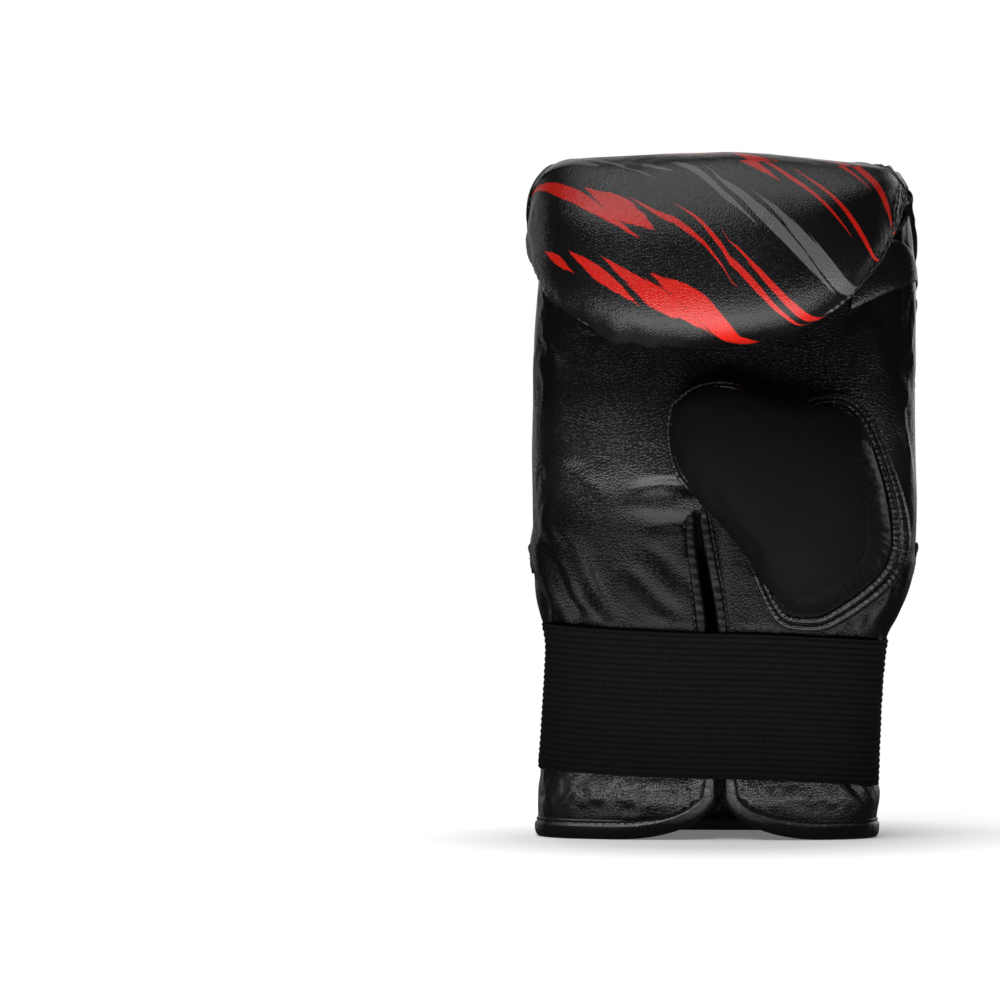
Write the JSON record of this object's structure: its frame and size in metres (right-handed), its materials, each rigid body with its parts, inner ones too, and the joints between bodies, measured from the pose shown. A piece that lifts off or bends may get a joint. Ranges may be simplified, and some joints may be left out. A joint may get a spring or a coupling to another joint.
{
  "type": "padded bag glove, a sparring mitt for the right hand with a rolled finger hood",
  "caption": "Padded mitt with a hood rolled over the fingers, a thumb pod, a slit cuff and wide wrist elastic.",
  "frame": {"origin": "on the floor, under the middle of the mitt's box, as it stands on the hem of its cuff", "axes": "+Z from the cuff's hem towards the fingertips, -Y out of the palm, +X towards the thumb's side"},
  "size_m": [0.1537, 0.115, 0.2689],
  "materials": {
    "printed_leather": "black grained leather printed with slanted red and grey dashes",
    "black_leather": "soft black grained leather with a satin sheen",
    "matte_leather": "matte black leather",
    "elastic": "black ribbed elastic webbing and black thread",
    "label": "matte white vinyl, left bare"
  },
  "bodies": {
    "root": {"back_pad": "printed_leather", "side_panel_thumb": "black_leather", "side_panel_outer": "black_leather", "palm_panel": "black_leather", "cuff_panel": "black_leather", "cuff_band": "black_leather", "hem_binding": "black_leather", "elastic_band": "elastic", "label_patch": "label", "thumb": "matte_leather", "thumb_welt": "black_leather", "thumb_flange": "black_leather", "finger_gusset": "black_leather"}
  },
  "joints": []
}
